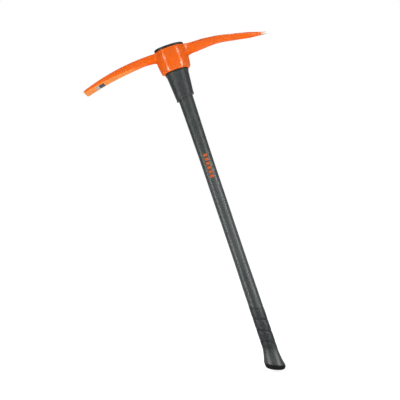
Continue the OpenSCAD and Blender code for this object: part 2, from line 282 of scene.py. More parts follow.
class PICKAXE_PG_settings(bpy.types.PropertyGroup):
    """All the settings of the pick axe"""

    hub: PointerProperty(type=PICKAXE_PG_hub)
    chisel: PointerProperty(type=PICKAXE_PG_chisel)
    point: PointerProperty(type=PICKAXE_PG_point)
    handle: PointerProperty(type=PICKAXE_PG_handle)
    grip: PointerProperty(type=PICKAXE_PG_grip)
    cap: PointerProperty(type=PICKAXE_PG_cap)
    colours: PointerProperty(type=PICKAXE_PG_colours)
    stage: PointerProperty(type=PICKAXE_PG_stage)


# Shape helpers

def between(start, end, t):
    """The value that lies a share t of the way from start to end."""
    return start + (end - start) * t


def span(value, start, end):
    """How far a value lies between two others, from 0 to 1."""
    return max(0.0, min(1.0, (value - start) / (end - start)))


def ease(t):
    """Softens both ends of a run from 0 to 1."""
    return t * t * (3 - 2 * t)


def steps(start, end, count):
    """Evenly spaced values from start to end, both included."""
    return [between(start, end, i / count) for i in range(count + 1)]


def drawn_out(value, fullness):
    """A cosine or sine drawn out towards a square."""
    return copysign(abs(value) ** (2 / fullness), value)


def oval_ring(half_width, half_depth, height, fullness=ELLIPSE, lean=0.0, shift=0.0):
    """Points round an oval that falls by lean for each metre towards +X."""
    ring = []
    for i in range(COLUMNS):
        a = 2 * pi * i / COLUMNS
        x = shift + half_width * drawn_out(cos(a), fullness)
        y = half_depth * drawn_out(sin(a), fullness)
        ring.append(Vector((x, y, height - x * lean)))
    return ring


def edge_round(half_width, half_depth, height, radius, start, end, count=4):
    """Half width, half depth and height of profile points round an edge, between two angles in degrees."""
    points = []
    for a in steps(radians(start), radians(end), count):
        inset = radius * (1 - cos(a))
        points.append((half_width - inset, half_depth - inset, height + radius * sin(a)))
    return points


def sag(run, radius):
    """Drop of a circular curve over a level run."""
    return radius - sqrt(radius ** 2 - run ** 2)


def new_piece(name, mesh_maker, sharp_angle=40):
    """Makes an object with a smooth mesh from mesh_maker, and keeps edges past sharp_angle crisp."""
    mesh = bpy.data.meshes.new(name)
    bm = bmesh.new()
    mesh_maker(bm)
    bmesh.ops.recalc_face_normals(bm, faces=bm.faces)
    for face in bm.faces:
        face.smooth = True
    bm.to_mesh(mesh)
    bm.free()
    mesh.set_sharp_from_angle(angle=radians(sharp_angle))
    piece = bpy.data.objects.new(name, mesh)
    bpy.context.scene.collection.objects.link(piece)
    return piece


def cover(bm, low, high):
    """Joins two rows of points that run round a piece with faces."""
    for i, vertex in enumerate(low):
        k = (i + 1) % len(low)
        bm.faces.new((vertex, low[k], high[k], high[i]))


def skin(bm, rings, closed):
    """Covers rings of points. A closed skin runs back to its first ring, and an open one is capped."""
    rows = [[bm.verts.new(point) for point in ring] for ring in rings]
    for low, high in zip(rows, rows[1:]):
        cover(bm, low, high)
    if closed:
        cover(bm, rows[-1], rows[0])
        return
    for row in (rows[0], rows[-1]):
        middle = bm.verts.new(sum((v.co for v in row), Vector()) / len(row))
        for i, vertex in enumerate(row):
            bm.faces.new((vertex, row[(i + 1) % len(row)], middle))


def dress(piece, node, material):
    """Gives a piece its finish and puts it in the place of its solid."""
    piece.data.materials.append(material)
    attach(piece, "root")
    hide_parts(node)


# Node helpers

def feed(tree, socket, source):
    """Links a socket to another one, or sets it to a plain value."""
    if isinstance(source, bpy.types.NodeSocket):
        tree.links.new(source, socket)
    else:
        socket.default_value = source


def add_math(tree, operation, first, second=0.0, clamp=False):
    """Works out one number from two."""
    node = tree.nodes.new("ShaderNodeMath")
    node.operation = operation
    node.use_clamp = clamp
    feed(tree, node.inputs[0], first)
    feed(tree, node.inputs[1], second)
    return node.outputs[0]


def add_noise(tree, vector, scale, detail=3.0, roughness=0.55):
    """Cloudy noise, about 0.5 on the whole."""
    node = tree.nodes.new("ShaderNodeTexNoise")
    feed(tree, node.inputs["Vector"], vector)
    feed(tree, node.inputs["Scale"], scale)
    feed(tree, node.inputs["Detail"], detail)
    feed(tree, node.inputs["Roughness"], roughness)
    return node.outputs[0]


def add_ramp(tree, value, start, end, low=0.0, high=1.0):
    """A smooth step from low to high while value goes from start to end."""
    node = tree.nodes.new("ShaderNodeMapRange")
    node.interpolation_type = "SMOOTHSTEP"
    for name, source in (
        ("Value", value), ("From Min", start), ("From Max", end), ("To Min", low), ("To Max", high)
    ):
        feed(tree, node.inputs[name], source)
    return node.outputs[0]


def add_mix(tree, factor, first, second):
    """Mixes two colours, whose sockets come after those for numbers and vectors."""
    node = tree.nodes.new("ShaderNodeMix")
    node.data_type = "RGBA"
    feed(tree, node.inputs[0], factor)
    feed(tree, node.inputs[6], first)
    feed(tree, node.inputs[7], second)
    return node.outputs[2]


def add_blend(tree, factor, first, second):
    """Mixes two numbers."""
    node = tree.nodes.new("ShaderNodeMix")
    node.data_type = "FLOAT"
    feed(tree, node.inputs[0], factor)
    feed(tree, node.inputs[2], first)
    feed(tree, node.inputs[3], second)
    return node.outputs[0]


def add_window(tree, limits, border):
    """1 where each value lies between its two limits, with a soft border inside them."""
    zone = 1.0
    for value, low, high in limits:
        for limit, inside in ((low, low + border), (high, high - border)):
            zone = add_math(tree, "MULTIPLY", zone, add_ramp(tree, value, limit, inside))
    return zone


def add_stretch(tree, vector, scale):
    """Scales a place before it reaches a texture."""
    node = tree.nodes.new("ShaderNodeMapping")
    feed(tree, node.inputs["Vector"], vector)
    feed(tree, node.inputs["Scale"], scale)
    return node.outputs[0]


def add_bump(tree, height, depth, normal=None):
    """Small bumps of a depth in metres, over others where their normal is given."""
    node = tree.nodes.new("ShaderNodeBump")
    feed(tree, node.inputs["Height"], height)
    feed(tree, node.inputs["Distance"], depth)
    if normal is not None:
        feed(tree, node.inputs["Normal"], normal)
    return node.outputs[0]


def object_place(tree):
    """The place on the object, in metres."""
    return tree.nodes.new("ShaderNodeTexCoord").outputs["Object"]


def place_axes(tree, place):
    """The three numbers of a place."""
    node = tree.nodes.new("ShaderNodeSeparateXYZ")
    feed(tree, node.inputs[0], place)
    return node.outputs


def new_group(name, inputs, outputs):
    """An empty node group with its sockets, and the two nodes that hold them."""
    group = bpy.data.node_groups.new(name, "ShaderNodeTree")
    for in_out, sockets in (("INPUT", inputs), ("OUTPUT", outputs)):
        for label, kind in sockets:
            group.interface.new_socket(name=label, in_out=in_out, socket_type="NodeSocket" + kind)
    return group, group.nodes.new("NodeGroupInput").outputs, group.nodes.new("NodeGroupOutput").inputs


# The middle level of noise
NOISE_MIDDLE = 0.5


def mottle_group():
    """Cloudy change from one colour to another."""
    cloud_from, cloud_full = 0.35, 0.68
    group, given, result = new_group(
        "Mottle",
        [("Color", "Color"), ("Tint", "Color"), ("Scale", "Float"), ("Amount", "Float")],
        [("Color", "Color")],
    )
    cloud = add_noise(group, object_place(group), given["Scale"], detail=4.0)
    amount = add_math(group, "MULTIPLY", add_ramp(group, cloud, cloud_from, cloud_full), given["Amount"])
    feed(group, result["Color"], add_mix(group, amount, given["Color"], given["Tint"]))
    return group


def grain_group():
    """Fine moulded grain: uneven gloss, and a height for bumps."""
    broad_scale, broad_height = 0.06, 0.5
    group, given, result = new_group(
        "Moulded grain",
        [("Scale", "Float"), ("Roughness", "Float"), ("Spread", "Float")],
        [("Roughness", "Float"), ("Height", "Float")],
    )
    place = object_place(group)
    fine = add_noise(group, place, given["Scale"], detail=2.0)
    broad = add_noise(group, place, add_math(group, "MULTIPLY", given["Scale"], broad_scale), detail=3.0)
    uneven = add_math(group, "MULTIPLY", add_math(group, "SUBTRACT", broad, NOISE_MIDDLE), given["Spread"])
    feed(group, result["Roughness"], add_math(group, "ADD", given["Roughness"], uneven, clamp=True))
    height = add_math(group, "ADD", fine, add_math(group, "MULTIPLY", broad, broad_height))
    feed(group, result["Height"], height)
    return group


def ragged_group():
    """A ragged border where a value passes a limit, for bare metal and chips."""
    inputs = [(name, "Float") for name in ("Value", "Limit", "Softness", "Ragged", "Scale")]
    group, given, result = new_group("Ragged border", inputs, [("Mask", "Float")])
    cloud = add_noise(group, object_place(group), given["Scale"], detail=4.0)
    rough = add_math(group, "SUBTRACT", cloud, NOISE_MIDDLE)
    value = add_math(group, "ADD", given["Value"], add_math(group, "MULTIPLY", rough, given["Ragged"]))
    end = add_math(group, "ADD", given["Limit"], given["Softness"])
    feed(group, result["Mask"], add_ramp(group, value, given["Limit"], end))
    return group


GROUP_MAKERS = {"Mottle": mottle_group, "Moulded grain": grain_group, "Ragged border": ragged_group}


def add_group(tree, name, **values):
    """Places a shared group, made on first use, and sets its inputs by name."""
    node = tree.nodes.new("ShaderNodeGroup")
    node.node_tree = bpy.data.node_groups.get(name) or GROUP_MAKERS[name]()
    for label, source in values.items():
        feed(tree, node.inputs[label], source)
    return node.outputs


def new_material(name):
    """An empty material with its Principled BSDF, and the inputs of that."""
    material = bpy.data.materials.new(name)
    material.use_nodes = True
    tree = material.node_tree
    return material, tree, tree.nodes["Principled BSDF"].inputs


def solid(rgb, shade=1.0):
    """A colour for a socket, darkened where a shade is given."""
    return (*(shade * part for part in rgb), 1.0)


# Finishes

def enamel_finish(colours, point, chisel):
    """Gloss enamel with a soft orange peel, a paler orange painted under the chisel arm as light thrown up
    from below, bare ground steel at the point and a rubbed cutting edge.
    """
    # The two plain bars under the blade, along the arm and across it
    mark_from, mark_middle, mark_to = -0.217, -0.2075, -0.192
    mark_half_width, mark_border = 0.017, 0.0004
    # How far a face looks down to be an underside, and where the chisel arm's underside gets a paler orange,
    # which is painted light thrown up from below
    under_from, under_full = -0.25, -0.6
    lit_underside_from, lit_underside_full = -0.080, -0.130
    # The grinder's strokes on the bare steel, and where it brightens behind the end of the enamel
    stroke_scale, stroke_shade = (900.0, 60.0, 60.0), 0.8
    stroke_low, stroke_high = 0.2, 0.8
    steel_smooth, steel_rough = 0.24, 0.42
    bright_from, bright_full = 0.014, 0.024
    bump_depth = 0.00001
    # Gloss on the upper faces, on the undersides and on the outer half of the point arm
    gloss_above, gloss_under = 0.62, 0.16
    outer_from, outer_full, outer_share = 0.15, 0.20, 0.15
    zone_border = 0.008
    hub_half, root_from, root_to = 0.041, 0.033, 0.074
    low, gap, top = -zone_border, 0.051, HEAD_HIGH.z - HEAD_LOW.z + zone_border
    # Where the gloss is uneven: the sides, the heights above the hub's lower face and the share that is left
    gloss_zones = (
        ((-root_to, -root_from), (low, top), 0.05),
        ((root_from, root_to), (low, gap), 0.05),
        ((root_from, root_to), (gap, top), 0.05),
        ((-hub_half, 0.0), (low, 0.0146), 1.6),
        ((-hub_half, 0.0), (0.0090, 0.0395), 0.35),
        ((-hub_half, 0.0), (0.0404, top), 0.2),
        ((0.0, hub_half), (low, 0.0230), 1.6),
        ((0.0, hub_half), (0.0175, 0.0405), 0.35),
        ((0.0, hub_half), (0.0456, top), 0.2),
    )
    material, tree, surface = new_material("Orange enamel")
    place = object_place(tree)
    along, across, up = place_axes(tree, place)
    raised = add_math(tree, "SUBTRACT", up, HEAD_LOW.z)
    facing = place_axes(tree, tree.nodes.new("ShaderNodeNewGeometry").outputs["Normal"])["Z"]
    under = add_ramp(tree, facing, under_from, under_full)
    # Painted light: the underside of the chisel arm turns a paler orange, as if lit from below
    lit_underside = add_math(tree, "MULTIPLY", under, add_ramp(tree, along, lit_underside_from, lit_underside_full))
    paint = add_group(
        tree, "Mottle", Color=solid(colours.enamel), Tint=solid(colours.enamel_deep), Scale=24.0, Amount=0.4
    )["Color"]
    paint = add_mix(tree, lit_underside, paint, solid(colours.enamel_lit_underside))
    second_bar = add_ramp(tree, along, mark_middle, mark_middle + mark_border)
    bars = add_mix(tree, second_bar, solid(colours.mark_pale), solid(colours.mark_dark))
    limits = ((along, mark_from, mark_to), (across, -mark_half_width, mark_half_width))
    mark = add_math(tree, "MULTIPLY", add_window(tree, limits, mark_border), under)
    paint = add_mix(tree, mark, paint, bars)
    peel = add_group(tree, "Moulded grain", Scale=420.0, Roughness=0.26, Spread=0.1)
    bare = add_group(
        tree, "Ragged border", Value=along, Limit=point.bare_from, Softness=0.011, Ragged=0.008, Scale=160.0
    )["Mask"]
    rubbed = add_group(
        tree, "Ragged border", Value=add_math(tree, "MULTIPLY", along, -1.0),
        Limit=chisel.reach, Softness=0.0015, Ragged=0.006, Scale=420.0,
    )["Mask"]
    metal = add_math(tree, "MAXIMUM", bare, rubbed)
    strokes = add_noise(tree, add_stretch(tree, place, stroke_scale), 1.0, detail=2.0)
    ground = add_mix(tree, strokes, solid(colours.steel, stroke_shade), solid(colours.steel))
    bright = add_ramp(tree, along, point.bare_from + bright_from, point.bare_from + bright_full)
    ground = add_mix(tree, bright, ground, solid(colours.steel_bright))
    feed(tree, surface["Base Color"], add_mix(tree, metal, paint, ground))
    feed(tree, surface["Metallic"], metal)
    steel_shine = add_ramp(tree, strokes, stroke_low, stroke_high, steel_smooth, steel_rough)
    feed(tree, surface["Roughness"], add_blend(tree, metal, peel["Roughness"], steel_shine))
    gloss = add_ramp(tree, under, 0.0, 1.0, gloss_above, gloss_under)
    gloss = add_math(tree, "MULTIPLY", gloss, add_ramp(tree, along, outer_from, outer_full, 1.0, outer_share))
    for sides, heights, share in gloss_zones:
        zone = add_window(tree, ((along, *sides), (raised, *heights)), zone_border)
        gloss = add_math(tree, "MULTIPLY", gloss, add_ramp(tree, zone, 0.0, 1.0, 1.0, share))
    feed(tree, surface["Coat Weight"], add_math(tree, "SUBTRACT", gloss, metal, clamp=True))
    surface["Coat Roughness"].default_value = 0.15
    surface["Specular IOR Level"].default_value = 0.0
    height = add_blend(tree, metal, peel["Height"], strokes)
    feed(tree, surface["Normal"], add_bump(tree, height, bump_depth))
    return material


def moulded_finish(
    name, main, pale, scale, roughness, depth, patches=45.0, mottle=0.8, wrinkle=0.0, specular=0.16
):
    """Satin polymer or rubber with a fine moulded grain, and wrinkles where a depth is given for them."""
    wrinkle_scale = 210.0
    material, tree, surface = new_material(name)
    tone = add_group(tree, "Mottle", Color=solid(main), Tint=solid(pale), Scale=patches, Amount=mottle)
    grain = add_group(tree, "Moulded grain", Scale=scale, Roughness=roughness, Spread=0.16)
    feed(tree, surface["Base Color"], tone["Color"])
    feed(tree, surface["Roughness"], grain["Roughness"])
    surface["Specular IOR Level"].default_value = specular
    normal = add_bump(tree, grain["Height"], depth)
    if wrinkle:
        wrinkles = add_noise(tree, object_place(tree), wrinkle_scale, detail=1.5)
        normal = add_bump(tree, wrinkles, wrinkle, normal)
    feed(tree, surface["Normal"], normal)
    return material


def made_so_far(material):
    """A material's tree, its Principled BSDF's inputs, and what feeds its colour, roughness and normal."""
    surface = material.node_tree.nodes["Principled BSDF"].inputs
    sources = [surface[name].links[0].from_socket for name in ("Base Color", "Roughness", "Normal")]
    return material.node_tree, surface, sources


def jacket_finish(colours):
    """Satin polymer with faint lines along the shaft, two painted highlight bands down its face with painted
    shade between them near the grip, and a row of six plain blocks printed on its face.
    """
    bars_low, bars_high = 0.536, 0.605
    bar_pitch, bar_share, bar_half_width = 0.0116, 0.68, 0.0052
    bar_border = 0.0004
    # Drawn lines along the shaft: the noise that makes them, how strong they are, and where they and the
    # painted highlight bands fade out towards the top
    drawn_scale = (700.0, 700.0, 6.0)
    drawn_low, drawn_high = 0.3, 0.8
    drawn_from, drawn_full = 0.68, 0.52
    # Two painted highlight bands along the face with their strengths, and a band of painted shade between
    # them near the grip
    highlight_bands = (((-0.0140, -0.0030), 0.18), ((0.0008, 0.0135), 0.5))
    shade_band, shade_from, shade_full, shade_share = (-0.0095, 0.0032), 0.310, 0.255, 0.75
    band_border = 0.004
    # The upper shaft is duller
    dull_from, dull_full, dull_rise = 0.58, 0.68, 0.16
    # Ripples across the shaft near the grip
    ripple_scale, ripple_depth = (90.0, 90.0, 420.0), 0.0004
    ripple_end, ripple_full = 0.285, 0.250
    material = moulded_finish(
        "Grey jacket", colours.jacket, colours.jacket_pale_and_highlight,
        scale=1100.0, roughness=0.30, depth=0.00001, mottle=0.2, specular=0.2,
    )
    tree, surface, (tone, roughness, normal) = made_so_far(material)
    place = object_place(tree)
    across, deep, up = place_axes(tree, place)
    drawn = add_noise(tree, add_stretch(tree, place, drawn_scale), 1.0, detail=2.0)
    amount = add_ramp(tree, drawn, drawn_low, drawn_high, drawn_low, drawn_high)
    # Painted highlight: two paler bands down the face, where the lamps' stripes fall
    for limits, share in highlight_bands:
        band = add_window(tree, ((across, *limits),), band_border)
        amount = add_math(tree, "ADD", amount, add_math(tree, "MULTIPLY", band, share))
    amount = add_math(tree, "MULTIPLY", amount, add_ramp(tree, up, drawn_from, drawn_full))
    tone = add_mix(tree, amount, tone, solid(colours.jacket_pale_and_highlight))
    # Painted shade: a darker band down the middle of the face near the grip
    dark = add_window(tree, ((across, *shade_band),), band_border)
    dark = add_math(tree, "MULTIPLY", dark, add_ramp(tree, up, shade_from, shade_full, 0.0, shade_share))
    tone = add_mix(tree, dark, tone, solid(colours.jacket))
    dull = add_ramp(tree, up, dull_from, dull_full, 0.0, dull_rise)
    feed(tree, surface["Roughness"], add_math(tree, "ADD", roughness, dull))
    turn = add_math(tree, "DIVIDE", add_math(tree, "SUBTRACT", up, bars_low), bar_pitch)
    turn = add_math(tree, "FRACT", turn)
    bar = add_window(tree, ((turn, 0.0, bar_share),), bar_border / bar_pitch)
    front = (deep, -bar_half_width * 4, 0.0)
    zone = add_window(
        tree, ((across, -bar_half_width, bar_half_width), front, (up, bars_low, bars_high)), bar_border
    )
    printed = add_math(tree, "MULTIPLY", bar, zone)
    feed(tree, surface["Base Color"], add_mix(tree, printed, tone, solid(colours.bars)))
    ripples = add_noise(tree, add_stretch(tree, place, ripple_scale), 1.0, detail=2.0)
    ripples = add_math(tree, "MULTIPLY", ripples, add_ramp(tree, up, ripple_end, ripple_full))
    feed(tree, surface["Normal"], add_bump(tree, ripples, ripple_depth, normal))
    return material


def grip_finish(colours):
    """Wrinkled rubber, with painted highlight stripes down its face that grow brighter towards the knob, and
    painted shade down the middle.
    """
    # Bands along the face and their strengths: painted highlight at the left and the right, and painted shade
    # in the middle
    lit_left, lit_right, shaded_middle = (-0.0190, -0.0065), (0.0045, 0.0160), (-0.0075, 0.0035)
    left_share, right_share, shade_share = 0.75, 0.5, 0.45
    band_border = 0.004
    # Where the painted highlight brightens towards the knob, and the streaks that break it up
    highlight_from, highlight_full, highlight_least = 0.070, 0.040, 0.3
    streak_scale, streak_least = (260.0, 260.0, 40.0), 0.6
    streak_low, streak_high = 0.3, 0.7
    material = moulded_finish(
        "Grey grip", colours.grip, colours.grip_pale_and_highlight,
        scale=1300.0, roughness=0.40, depth=0.00004, patches=130.0, wrinkle=0.0005, specular=0.24,
    )
    tree, surface, (tone, _, _) = made_so_far(material)
    place = object_place(tree)
    streaks = add_noise(tree, add_stretch(tree, place, streak_scale), 1.0, detail=2.0)
    streaks = add_ramp(tree, streaks, streak_low, streak_high, streak_least, 1.0)
    across, _, up = place_axes(tree, place)
    left, middle, right = (
        add_window(tree, ((across, *limits),), band_border) for limits in (lit_left, shaded_middle, lit_right)
    )
    # Painted shade down the middle of the face, and painted highlight down its right side
    tone = add_mix(tree, add_math(tree, "MULTIPLY", middle, shade_share), tone, solid(colours.grip))
    tone = add_mix(tree, add_math(tree, "MULTIPLY", right, right_share), tone, solid(colours.grip_pale_and_highlight))
    # Painted highlight down both sides, broken up by streaks and brightest at the knob
    amount = add_math(tree, "ADD", add_math(tree, "MULTIPLY", left, left_share), right)
    amount = add_math(tree, "MULTIPLY", amount, streaks, clamp=True)
    amount = add_ramp(tree, amount, 0.0, 1.0, highlight_least, 1.0)
    amount = add_math(tree, "MULTIPLY", amount, add_ramp(tree, up, highlight_from, highlight_full))
    feed(tree, surface["Base Color"], add_mix(tree, amount, tone, solid(colours.grip_highlight)))
    return material


def hidden_finish(name, rgb, stretch):
    """Resin or glass fibre, which only shows when the tool is taken apart."""
    strand_shade, strand_depth = 0.7, 0.00005
    strand_low, strand_high = 0.2, 0.8
    smooth, rough = 0.25, 0.45
    material, tree, surface = new_material(name)
    strands = add_noise(tree, add_stretch(tree, object_place(tree), stretch), 1.0, detail=3.0)
    feed(tree, surface["Base Color"], add_mix(tree, strands, solid(rgb, strand_shade), solid(rgb)))
    feed(tree, surface["Roughness"], add_ramp(tree, strands, strand_low, strand_high, smooth, rough))
    feed(tree, surface["Normal"], add_bump(tree, strands, strand_depth))
    return material


# The head

# Rows of the hub's rounded lower edge, its barrel, its eye and the fillets, and the step between arm rings
CORNER_ROWS = 5
BARREL_ROWS = 14
EYE_ROWS = 4
FILLET_ROWS = 7
ARM_STEP = 0.0045
# How far forging leaves the arms and the hub uneven, over patches of this size
FORGED_UNEVEN, FORGED_PATCH = 0.00022, 0.022
HUB_UNEVEN, HUB_PATCH = 0.00045, 0.017
# A seed that keeps the unevenness the same in every run
FORGED_SEED = 7
# Where the unevenness of the arms dies out, so that their ends stay true
TRUE_FROM, TRUE_TO = 0.225, 0.24
# How much the eye narrows over the height of the resin, and how the barrel narrows from its widest place
EYE_TAPER = 0.004
BARREL_CURVE = 1.4
# Reach of the hub's sides, and the highest that the arms' upper faces come
HUB_REACH = 0.0437
ARM_FLUSH = HEAD_HIGH.z - 0.0003
# Half width of each arm's root in columns of the hub, and the lowest barrel row that it takes up
CHISEL_ROOT = (9, 8)
POINT_ROOT = (11, 6)
# Reach of each arm's first full ring, and how far its fillet follows the hub and the arm
CHISEL_FROM, CHISEL_FILLET = 0.054, (0.0025, 0.0035)
POINT_FROM, POINT_FILLET = 0.068, (0.009, 0.012)
# Distance of the last ring but one from each arm's end
CHISEL_LAST, POINT_LAST = 0.0004, 0.0006
# How the blend dies away from the hub, and how the blade thins and spreads
BLEND_CURVE = 1.4
BLADE_THINNING, BLADE_SPREAD = 1.5, 0.85
# Shares of the blade's thickness that the ground edge leaves below and above its middle
GROUND_BELOW, GROUND_ABOVE = 0.25, 0.55
# Squareness of the sections, where 2 is an ellipse, and how far before the taper the point's starts to change
CHISEL_SQUARENESS = 6.5
SHANK_SQUARENESS, TIP_SQUARENESS = 4.0, 4.5
SQUARE_BEFORE = 0.02
# Where the belly under the point arm starts to die away
BELLY_FROM = HUB_REACH * 2


def hub_half_width(hub, height):
    """Half width of the hub's barrel at a height above its lower face, without the rounded edges."""
    top = HEAD_HIGH.z - HEAD_LOW.z - hub.top_round
    if height < hub.middle_height:
        t = (hub.middle_height - height) / (hub.middle_height - hub.low_round)
        return between(hub.middle_width, hub.low_width, abs(t) ** BARREL_CURVE) / 2
    t = (height - hub.middle_height) / (top - hub.middle_height)
    return between(hub.middle_width, hub.top_width, abs(t) ** BARREL_CURVE) / 2


def hub_rings(hub):
    """Rings up the hub's barrel, over its top and down through the eye, and the first barrel row's number."""
    full = HEAD_HIGH.z - HEAD_LOW.z
    profile = []
    for a in steps(0, pi / 2, CORNER_ROWS)[:-1]:
        height = hub.low_round * (1 - cos(a))
        half = hub_half_width(hub, hub.low_round)
        inset = 1 - sin(a)
        half_depth = half - hub.flat / 2 - hub.low_round_depth * inset
        profile.append((half - hub.low_round * inset, half_depth, height))
    first = len(profile)
    for height in steps(hub.low_round, full - hub.top_round, BARREL_ROWS):
        half = hub_half_width(hub, height)
        profile.append((half, half - hub.flat / 2, height))
    half = hub.top_width / 2
    profile += edge_round(half, half - hub.flat / 2, full - hub.top_round, hub.top_round, 0, 90)[1:]
    eye_top = RESIN_HIGH.x + BOND_GAP
    eye_depth = RESIN_HIGH.y + BOND_GAP
    eye_taper = (full / (RESIN_HIGH.z - RESIN_LOW.z)) * EYE_TAPER
    for height in steps(full, 0, EYE_ROWS):
        narrow = between(eye_taper, 0, height / full)
        profile.append((eye_top - narrow, eye_depth - narrow, height))
    rings = [oval_ring(w, d, HEAD_LOW.z + h, HUB_FULLNESS) for w, d, h in profile]
    return rings, first


def arm_growth(arm, reach):
    """Growth of an arm's thickness and width near the hub."""
    return arm.blend * (1 - span(reach, HUB_REACH, HUB_REACH + arm.blend_length)) ** BLEND_CURVE


def chisel_section(chisel, reach):
    """Upper and lower edge, half width and squareness of the chisel arm at a reach."""
    blade = span(reach, chisel.blade_from, chisel.reach)
    middle = HEAD_HIGH.z - chisel.drop - sag(max(0.0, reach - chisel.curve_from), chisel.curve_radius)
    growth = arm_growth(chisel, reach)
    half = (between(chisel.root_thickness, chisel.edge_thickness, blade ** BLADE_THINNING) + growth) / 2
    ground = span(reach, chisel.reach - chisel.bevel, chisel.reach)
    width = (between(chisel.root_width, chisel.edge_width, blade ** BLADE_SPREAD) + growth) / 2
    low = middle - half * between(1.0, GROUND_BELOW, ground)
    high = min(middle + half * between(1.0, GROUND_ABOVE, ground), ARM_FLUSH)
    return high, low, width, CHISEL_SQUARENESS


def point_section(point, reach):
    """Upper and lower edge, half width and squareness of the point arm at a reach."""
    shank_end = point.reach - point.tip_length
    shank = span(reach, HUB_REACH + point.blend_length, shank_end)
    tip = span(reach, shank_end, point.reach)
    growth = arm_growth(point, reach)
    run = max(0.0, reach - point.curve_from)
    bend = min(run, point.curve_radius * sin(point.slope))
    middle = HEAD_HIGH.z - point.drop - sag(bend, point.curve_radius) - (run - bend) * tan(point.slope)
    thickness = between(point.root_thickness, point.tip_thickness, shank)
    half = (between(thickness, point.tip_end, tip) + growth) / 2
    width = (between(between(point.root_width, point.tip_width, shank), point.tip_end, tip) + growth) / 2
    high = min(middle + half, ARM_FLUSH - point.shoulder)
    low = middle - half - point.belly * ease(1 - span(reach, BELLY_FROM, point.belly_end))
    change = ease(span(reach, shank_end - SQUARE_BEFORE, point.bare_from))
    return high, low, width, between(SHANK_SQUARENESS, TIP_SQUARENESS, change)


def root_rim(half_columns, low_row, high_row):
    """Columns and rows in order round the rim of an arm's root, with the angle of each on the arm."""
    rim = [(c, low_row) for c in range(-half_columns, half_columns)]
    rim += [(half_columns, r) for r in range(low_row, high_row)]
    rim += [(c, high_row) for c in range(half_columns, -half_columns, -1)]
    rim += [(-half_columns, r) for r in range(high_row, low_row, -1)]
    middle = (low_row + high_row) / 2
    half_rows = (high_row - low_row) / 2
    return [(c, r, atan2((r - middle) / half_rows, c / half_columns)) for c, r in rim]


def arm_ring(section, side, reach, angles):
    """Points round an arm at a reach. Side is 1 for the point and -1 for the chisel."""
    high, low, half_width, squareness = section
    middle, half = (high + low) / 2, (high - low) / 2
    return [
        Vector((
            side * reach,
            side * half_width * drawn_out(cos(a), squareness),
            middle + half * drawn_out(sin(a), squareness),
        ))
        for a in angles
    ]


def fillet_points(start, leave, end, arrive):
    """Points of a smooth curve between two places, with the direction and reach at both of them."""
    points = []
    for t in steps(0, 1, FILLET_ROWS)[1:-1]:
        u = 1 - t
        near = start * u ** 3 + (start + leave) * (3 * u * u * t)
        points.append(near + (end + arrive) * (3 * u * t * t) + end * t ** 3)
    return points


def end_face(bm, ring, across, upright):
    """Fills the flat end of an arm with a grid of faces between the sides of its rim."""
    count = len(ring)
    grid = [ring[:across + 1]]
    for r in range(1, upright):
        left, right = ring[count - r], ring[across + r]
        row = [left]
        for c in range(1, across):
            below, above = ring[c], ring[2 * across + upright - c]
            level_place = left.co.lerp(right.co, c / across)
            upright_place = below.co.lerp(above.co, r / upright)
            row.append(bm.verts.new((level_place + upright_place) / 2))
        grid.append(row + [right])
    grid.append([ring[2 * across + upright - c] for c in range(across + 1)])
    for low, high in zip(grid, grid[1:]):
        for c in range(across):
            bm.faces.new((low[c], low[c + 1], high[c + 1], high[c]))


def uneven(place):
    """A place on an arm, moved a little as forging leaves it. The ends of the arms stay as they are."""
    shift = noise.noise_vector(place / FORGED_PATCH) * FORGED_UNEVEN
    return place + Vector((0, shift.y, shift.z)) * (1 - span(abs(place.x), TRUE_FROM, TRUE_TO))


def dented(place):
    """A place on the hub's barrel, sunk a little as forging leaves it."""
    depth = HUB_UNEVEN * (1 + noise.noise(place / HUB_PATCH)) / 2
    return place - Vector((place.x, place.y, 0)).normalized() * depth


def add_arm(bm, hub_rows, rim, side, first_reach, reaches, section_at, fillet):
    """Grows an arm out of the hub's side, with a smooth fillet before its first ring."""
    leave_reach, arrive_reach = fillet
    turn = 0 if side > 0 else COLUMNS // 2
    angles = [a for _, _, a in rim]
    half_columns = max(c for c, _, _ in rim)
    low_row = min(r for _, r, _ in rim)
    high_row = max(r for _, r, _ in rim)
    root = [hub_rows[r][(turn + c) % COLUMNS] for c, r, _ in rim]
    first = arm_ring(section_at(first_reach), side, first_reach, angles)
    outward = Vector((side, 0, 0))
    curves = []
    for (c, r, _), vertex, end in zip(rim, root, first):
        leave = Vector()
        if abs(c) == half_columns:
            beside = hub_rows[r][(turn + c - int(copysign(1, c))) % COLUMNS]
            leave += (beside.co - vertex.co).normalized()
        if r == low_row:
            leave += (hub_rows[r + 1][(turn + c) % COLUMNS].co - vertex.co).normalized()
        if r == high_row:
            leave += outward
        leave = leave.normalized() * leave_reach
        curves.append(fillet_points(vertex.co, leave, end, -outward * arrive_reach))
    rings = [[curve[i] for curve in curves] for i in range(FILLET_ROWS - 1)]
    rings += [first] + [arm_ring(section_at(reach), side, reach, angles) for reach in reaches]
    rows = [root] + [[bm.verts.new(uneven(point)) for point in ring] for ring in rings]
    for low, high in zip(rows, rows[1:]):
        cover(bm, low, high)
    end_face(bm, rows[-1], 2 * half_columns, high_row - low_row)


